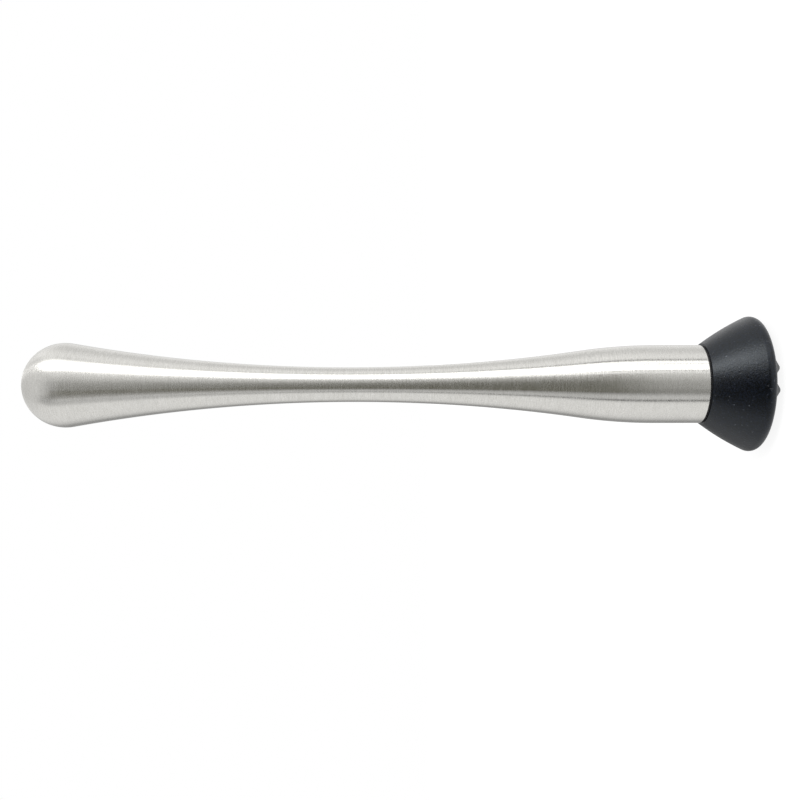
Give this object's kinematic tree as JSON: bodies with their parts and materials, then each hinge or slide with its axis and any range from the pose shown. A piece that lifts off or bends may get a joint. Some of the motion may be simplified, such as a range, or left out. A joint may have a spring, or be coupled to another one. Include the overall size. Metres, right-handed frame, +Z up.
{
  "type": "muddler",
  "caption": "Bar muddler: a waisted hollow steel handle with a domed end, screwed onto a flared black nylon head with a toothed face.",
  "frame": {"origin": "on the axis, level with the tips of the teeth that the muddler stands on", "axes": "+Z runs up the axis from the toothed face to the rounded end; X and Y are square to it, with the tooth grid turned 4.2 degrees about Z from them"},
  "size_m": [0.0366, 0.0366, 0.2],
  "materials": {
    "handle_steel": "fine brushing round the handle, slightly warm",
    "inner_steel": "plain machined or pressed stainless steel",
    "washer_rubber": "soft black silicone",
    "head_nylon": "charcoal-black moulded nylon with a fine matt grain"
  },
  "bodies": {
    "head": {"muddler_head": "head_nylon", "head_bolt": "inner_steel"},
    "washer": {"seal_washer": "washer_rubber"},
    "handle": {"handle_tube": "handle_steel", "end_dome": "handle_steel", "mouth_cup": "inner_steel", "weld_nut": "inner_steel"}
  },
  "joints": [
    {"name": "handle_turn", "type": "hinge", "parent": "head", "child": "washer", "pos_m": [0, 0, 0.016], "axis": [0, 0, 1], "range_deg": [0, 2160]},
    {"name": "handle_travel", "type": "slide", "parent": "washer", "child": "handle", "axis": [0, 0, 1], "range_m": [0, 0.0075]}
  ],
  "couplings": [
    {"joint": "handle_turn", "follows": "handle_travel", "rad_per_m": 5026.5}
  ]
}
